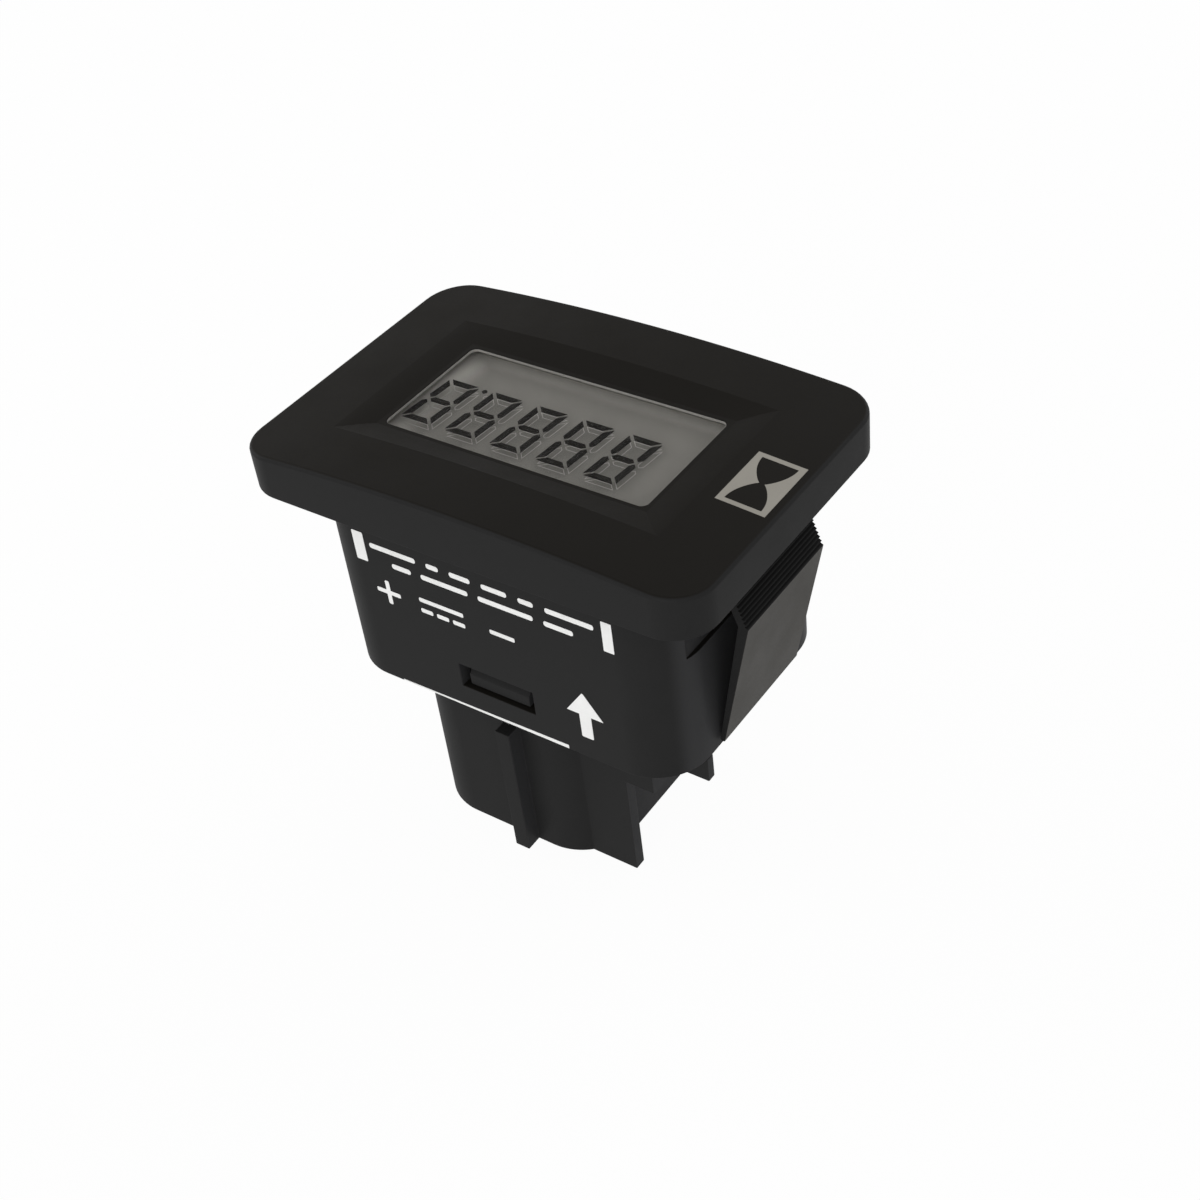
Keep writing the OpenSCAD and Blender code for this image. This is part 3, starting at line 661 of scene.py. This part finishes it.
def lens_glint_rim():
    """Thin pale ring between the lens and the wall of the window, a painted highlight of the glass edge."""
    low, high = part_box("window_lens")
    bpy.ops.object.select_all(action="DESELECT")
    bpy.ops.mesh.primitive_plane_add(size=1, location=(0, 0, high.z))
    rim = bpy.context.object
    rim.name = rim.data.name = "lens_glint_rim"
    rim.scale = (high.x - low.x + 2 * RIM_ROOM, high.y - low.y + 2 * RIM_ROOM, 1)
    bpy.ops.object.transform_apply(location=True, rotation=True, scale=True)
    bpy.ops.object.mode_set(mode="EDIT")
    bpy.ops.mesh.select_all(action="SELECT")
    bpy.ops.mesh.bevel(offset=RIM_CORNER, segments=RIM_STEPS, affect="VERTICES")
    bpy.ops.mesh.select_mode(type="FACE")
    bpy.ops.mesh.select_all(action="SELECT")
    bpy.ops.mesh.inset(thickness=RIM_WALL)
    bpy.ops.mesh.delete(type="FACE")
    bpy.ops.object.mode_set(mode="OBJECT")
    body = rim.modifiers.new("height", "SOLIDIFY")
    body.thickness = high.z - low.z
    body.offset = -1
    bpy.ops.object.modifier_apply(modifier=body.name)
    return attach(rim, "housing")


# Painted highlight: the pale ring stands for the lit edge of the lens.
rim = wear(lens_glint_rim(), material_of("rim_painted_glint", (0.285, 0.276, 0.256), (0.310, 0.300, 0.280), (0.35, 0.5),
                                   bump=0.03, specular=0.15))
print("lens rim:", len(rim.data.polygons), "faces")

# %% [markdown]
# ## Print
# White ink on the front wall and a pale symbol on the bezel are screen printed. Ink has almost no
# thickness, so each mark is a thin plate that stands 0.02 mm proud of the plastic. A mark starts as a cube of
# the right size, and the four edges through its thickness are bevelled into the rounded corners that ink
# always has. Marks of one row are joined into one piece.

# %% Ink plates on the front wall
THIN_PLATE, CORNER_STEPS = 0.02 * MM, 3
BAR_Z, BAR_CORNER = (-5.75, -2.85), 0.08
bpy.context.view_layer.update()
FRONT = case_shell.ray_cast(Vector((0, -0.05, -0.008)), Vector((0, 1, 0)))[1].y
print("front wall at y =", round(FRONT / MM, 3), "mm")


def wall_plate(x0, x1, z0, z1, corner):
    """A rounded plate on the front wall, for print and for the painted highlight along its lower edge, given by
    its sides in millimetres.
    """
    place = (Vector(((x0 + x1) / 2, 0, (z0 + z1) / 2)) * MM) + Vector((0, FRONT, 0))
    bpy.ops.object.select_all(action="DESELECT")
    bpy.ops.mesh.primitive_cube_add(size=1, location=place,
                                    scale=((x1 - x0) * MM, 2 * THIN_PLATE, (z1 - z0) * MM))
    plate = bpy.context.object
    bpy.ops.object.transform_apply(location=False, rotation=False, scale=True)
    bpy.ops.object.mode_set(mode="EDIT")
    bpy.ops.mesh.select_mode(type="EDGE")
    bpy.ops.mesh.select_all(action="DESELECT")
    bpy.ops.object.mode_set(mode="OBJECT")
    spots = [v.co for v in plate.data.vertices]
    for edge in plate.data.edges:
        a, b = (spots[i] for i in edge.vertices)
        edge.select = abs((b - a).y) > THIN_PLATE
    bpy.ops.object.mode_set(mode="EDIT")
    bpy.ops.mesh.bevel(offset=corner * MM, segments=CORNER_STEPS)
    bpy.ops.object.mode_set(mode="OBJECT")
    bpy.ops.object.transform_apply(location=True, rotation=True, scale=True)
    return plate


def white_wall_piece(name, plates):
    """Joins plates into one named piece that rides on the housing."""
    bpy.ops.object.select_all(action="DESELECT")
    for plate in plates:
        plate.select_set(True)
    bpy.context.view_layer.objects.active = plates[0]
    if len(plates) > 1:
        bpy.ops.object.join()
    piece = bpy.context.object
    piece.name = piece.data.name = name
    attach(piece, "housing")
    return wear(piece, ink_and_highlight_white)


# This white serves the print and the painted highlight along the lower edge of the wall.
ink_and_highlight_white = material_of("ink_and_highlight_white", (0.80, 0.80, 0.79), (0.72, 0.72, 0.71), (0.5, 0.7), grain=9000.0,
                        drift_scale=400.0, bump=0.2, specular=0.2)
bars = [white_wall_piece("bar_left", [wall_plate(-12.37, -11.26, *BAR_Z, BAR_CORNER)]),
        white_wall_piece("bar_right", [wall_plate(11.42, 12.35, *BAR_Z, BAR_CORNER)])]
print("ink bars:", [bar.name for bar in bars])

# %% [markdown]
# Between the bars the wall carries two short rows of plain dashes and a line of supply signs: plus, direct
# current and minus. They say which way round the supply goes on, in signs that any such meter could carry.

# %% Rows of dashes and supply signs
def dash_row(name, left, z, height, lengths, gap):
    """A row of dashes of given lengths, from left to right, in millimetres."""
    plates = []
    for length in lengths:
        plates.append(wall_plate(left, left + length, z - height / 2, z + height / 2, 0.4 * height))
        left += length + gap
    return white_wall_piece(name, plates)


DASH = 0.5
rows = [dash_row("dash_row_upper", -10.7, -3.85, DASH, (4.6, 1.2, 2.0, 2.4, 1.4, 4.4), 1.08),
        dash_row("dash_row_lower", -8.7, -5.25, DASH, (1.9, 4.6, 5.2, 2.7), 1.0)]

SIGN_Z, SIGN = -8.35, 2.4
STROKE, STROKE_CORNER = 0.42, 0.12
PLUS_X, CURRENT_X, MINUS_X = -9.7, -4.3, 1.6
CURRENT_HALF_GAP, CURRENT_PITCH = 0.55, 1.6


def stroke(x, z, width, height):
    """One straight stroke of a sign about its middle."""
    return wall_plate(x - width / 2, x + width / 2, z - height / 2, z + height / 2, STROKE_CORNER)


def united(first, second):
    """Two overlapping plates made into one."""
    bpy.context.view_layer.objects.active = first
    weld = first.modifiers.new("weld", "BOOLEAN")
    weld.operation = "UNION"
    weld.object = second
    bpy.ops.object.modifier_apply(modifier=weld.name)
    bpy.data.objects.remove(second)
    return first


signs = [
    white_wall_piece("sign_plus", [united(stroke(PLUS_X, SIGN_Z, SIGN, STROKE), stroke(PLUS_X, SIGN_Z, STROKE, SIGN))]),
    white_wall_piece("sign_direct_current", [stroke(CURRENT_X, SIGN_Z + CURRENT_HALF_GAP, 4.4, STROKE)]
              + [stroke(CURRENT_X + CURRENT_PITCH * k, SIGN_Z - CURRENT_HALF_GAP, 1.2, STROKE)
                 for k in (-1, 0, 1)]),
    white_wall_piece("sign_minus", [stroke(MINUS_X, SIGN_Z, SIGN, STROKE)]),
]
print("print:", [piece.name for piece in rows + signs])

# %% [markdown]
# Beside the window of the latch an arrow shows which way is up when the meter is fitted. Its head is a plate
# whose top side is scaled almost to a point, and a Boolean welds it to the shaft. The fine pale line along the
# lower edge of the wall is a painted highlight, a plate as well, made thinner at its left end.

# %% Arrow and painted edge highlight
SHARP_CORNER, POINT = 0.01, 0.04
ARROW_X = 8.7


def taper(plate, picked, scale, pivot):
    """Scales the corners of a plate that a test picks, about a fixed point."""
    bpy.ops.object.mode_set(mode="EDIT")
    bpy.ops.mesh.select_all(action="DESELECT")
    bpy.ops.object.mode_set(mode="OBJECT")
    for vertex in plate.data.vertices:
        vertex.select = picked(vertex.co)
    bpy.ops.object.mode_set(mode="EDIT")
    bpy.ops.transform.resize(value=scale, center_override=pivot)
    bpy.ops.object.mode_set(mode="OBJECT")
    return plate


def arrow_head(x, z0, z1, width):
    """A triangular plate of ink that points up."""
    middle = (z0 + z1) / 2 * MM
    return taper(wall_plate(x - width / 2, x + width / 2, z0, z1, SHARP_CORNER), lambda spot: spot.z > middle,
                 (POINT, 1, 1), (x * MM, FRONT, z1 * MM))


def painted_edge_highlight(x0, x1, z, thin, thick):
    """A painted highlight: a fine pale line along the lower edge of the wall that widens to the right."""
    middle = (x0 + x1) / 2 * MM
    return taper(wall_plate(x0, x1, z, z + thick, SHARP_CORNER), lambda spot: spot.x < middle,
                 (1, 1, thin / thick), (x0 * MM, FRONT, z * MM))


head, shaft = arrow_head(ARROW_X, -13.6, -11.3, 3.4), stroke(ARROW_X, -14.7, 1.1, 2.6)
arrow = white_wall_piece("sign_up_arrow", [united(head, shaft)])
# Painted highlight along the lower edge of the wall.
line = white_wall_piece("painted_edge_highlight", [painted_edge_highlight(-10.3, 6.6, -18.12, 0.12, 0.36)])
print("print:", arrow.name, line.name)

# %% [markdown]
# The bezel carries a pale field with an hourglass left open in it, the usual sign for running hours. The
# field is a thin plate laid along the slope of the crown. The hourglass is a grid whose rows are scaled
# one by one to the width of the glass there, extruded to a prism and cut out of the field with a Boolean.

# %% Hourglass symbol
FIELD_X, FIELD_Y = (16.26, 20.37), (-2.86, 3.40)
GLASS_X, GLASS_Y = 18.32, (-2.44, 2.97)
NECK, BULB, BULGE = 0.23, 1.52, 0.85
GLASS_ROWS, CUT_BELOW, CUT_HEIGHT = 24, 1 * MM, 3 * MM
FIELD_PLATE = 2.5 * THIN_PLATE
centre = Vector(((FIELD_X[0] + FIELD_X[1]) / 2, (FIELD_Y[0] + FIELD_Y[1]) / 2, 20)) * MM
tops = [case_shell.ray_cast(Vector((x * MM, centre.y, 0.02)), Vector((0, 0, -1)))[1] for x in FIELD_X]
SLOPE = math.atan2(tops[0].z - tops[1].z, tops[1].x - tops[0].x)
centre.z = (tops[0].z + tops[1].z) / 2
print("crown falls", round(math.degrees(SLOPE), 2), "degrees across the symbol")


def hourglass_prism():
    """A tall prism with the outline of an hourglass, for cutting."""
    length = (GLASS_Y[1] - GLASS_Y[0]) * MM
    place = Vector((GLASS_X * MM, (GLASS_Y[0] + GLASS_Y[1]) / 2 * MM, centre.z - CUT_BELOW))
    bpy.ops.object.select_all(action="DESELECT")
    bpy.ops.mesh.primitive_grid_add(x_subdivisions=1, y_subdivisions=GLASS_ROWS, size=1, location=place)
    prism = bpy.context.object
    prism.scale = (2 * BULB * MM, length, 1)
    bpy.ops.object.transform_apply(location=True, rotation=True, scale=True)
    for row in range(GLASS_ROWS + 1):
        share = abs(2 * row / GLASS_ROWS - 1)
        width = NECK + (BULB - NECK) * math.sin(math.radians(90) * share ** BULGE)
        y = place.y + (row / GLASS_ROWS - 0.5) * length
        for vertex in prism.data.vertices:
            vertex.select = abs(vertex.co.y - y) < 0.01 * MM
        bpy.ops.object.mode_set(mode="EDIT")
        bpy.ops.mesh.select_mode(type="VERT")
        bpy.ops.transform.resize(value=(width / BULB, 1, 1), center_override=place)
        bpy.ops.mesh.select_all(action="DESELECT")
        bpy.ops.object.mode_set(mode="OBJECT")
    bpy.ops.object.mode_set(mode="EDIT")
    bpy.ops.mesh.select_all(action="SELECT")
    bpy.ops.mesh.extrude_region_move(TRANSFORM_OT_translate={"value": (0, 0, CUT_HEIGHT)})
    bpy.ops.mesh.select_all(action="SELECT")
    bpy.ops.mesh.normals_make_consistent(inside=False)
    bpy.ops.object.mode_set(mode="OBJECT")
    return prism


def symbol_field():
    """The pale field with the hourglass cut out of it."""
    prism = hourglass_prism()
    bpy.ops.object.select_all(action="DESELECT")
    bpy.ops.mesh.primitive_cube_add(size=1, location=centre, rotation=(0, SLOPE, 0), scale=(
        (FIELD_X[1] - FIELD_X[0]) * MM / math.cos(SLOPE), (FIELD_Y[1] - FIELD_Y[0]) * MM, FIELD_PLATE))
    field = bpy.context.object
    field.name = field.data.name = "symbol_field"
    bpy.ops.object.transform_apply(location=True, rotation=True, scale=True)
    cut = field.modifiers.new("hourglass", "BOOLEAN")
    cut.operation = "DIFFERENCE"
    cut.object = prism
    bpy.ops.object.modifier_apply(modifier=cut.name)
    bpy.data.objects.remove(prism)
    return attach(field, "housing")


symbol = wear(symbol_field(),
              material_of("symbol_grey", (0.27, 0.255, 0.225), (0.30, 0.285, 0.25), (0.5, 0.65), grain=9000.0,
                          drift_scale=300.0, bump=0.1, specular=0.15))
print(symbol.name, len(symbol.data.polygons), "faces")

# %% [markdown]
# ## Inside and terminals
# The circuit is hidden behind the walls and shows only in an opened or cut view, yet each part has its
# own finish: white holder, grey rubber contacts, green board, dull chips, a bright can, a sleeved
# capacitor, a blue varistor and tinned brass blades in the socket.

# %% Finishes of the circuit
wear(cad["lcd_holder"], material_of("holder_white", (0.62, 0.62, 0.58), (0.7, 0.7, 0.66), (0.45, 0.6)))
zebra = material_of("contact_rubber", (0.40, 0.385, 0.35), (0.30, 0.29, 0.26), (0.6, 0.75), drift_scale=2500.0)
for name in ("zebra_strip_front", "zebra_strip_back"):
    wear(cad[name], zebra)
wear(cad["circuit_board"], material_of("board_green", (0.015, 0.11, 0.045), (0.03, 0.17, 0.07), (0.3, 0.45),
                                       drift_scale=500.0, bump=0.15, specular=0.5))
chip_black = material_of("chip_black", (0.016, 0.016, 0.017), (0.024, 0.024, 0.025), (0.5, 0.7))
for name in ("controller_chip", "memory_chip", "supply_diode"):
    wear(cad[name], chip_black)
wear(cad["quartz_crystal"], material_of("can_bright", (0.60, 0.60, 0.58), (0.68, 0.68, 0.66), (0.22, 0.35),
                                        group=drawn_metal, metallic=1.0))
wear(cad["filter_capacitor"], material_of("capacitor_sleeve", (0.07, 0.08, 0.13), (0.09, 0.1, 0.16), (0.3, 0.4)))
wear(cad["varistor"], material_of("varistor_blue", (0.02, 0.08, 0.25), (0.03, 0.11, 0.31), (0.35, 0.5)))
wear(cad["chip_resistors"], material_of("resistor_dark", (0.03, 0.03, 0.035), (0.05, 0.05, 0.055), (0.4, 0.6)))
tinned = material_of("tinned_brass", (0.62, 0.55, 0.38), (0.70, 0.64, 0.48), (0.28, 0.42), group=drawn_metal,
                     metallic=1.0, bump=0.2)
for name in ("terminal_blade_positive", "terminal_blade_negative"):
    wear(cad[name], tinned)
print("circuit dressed")
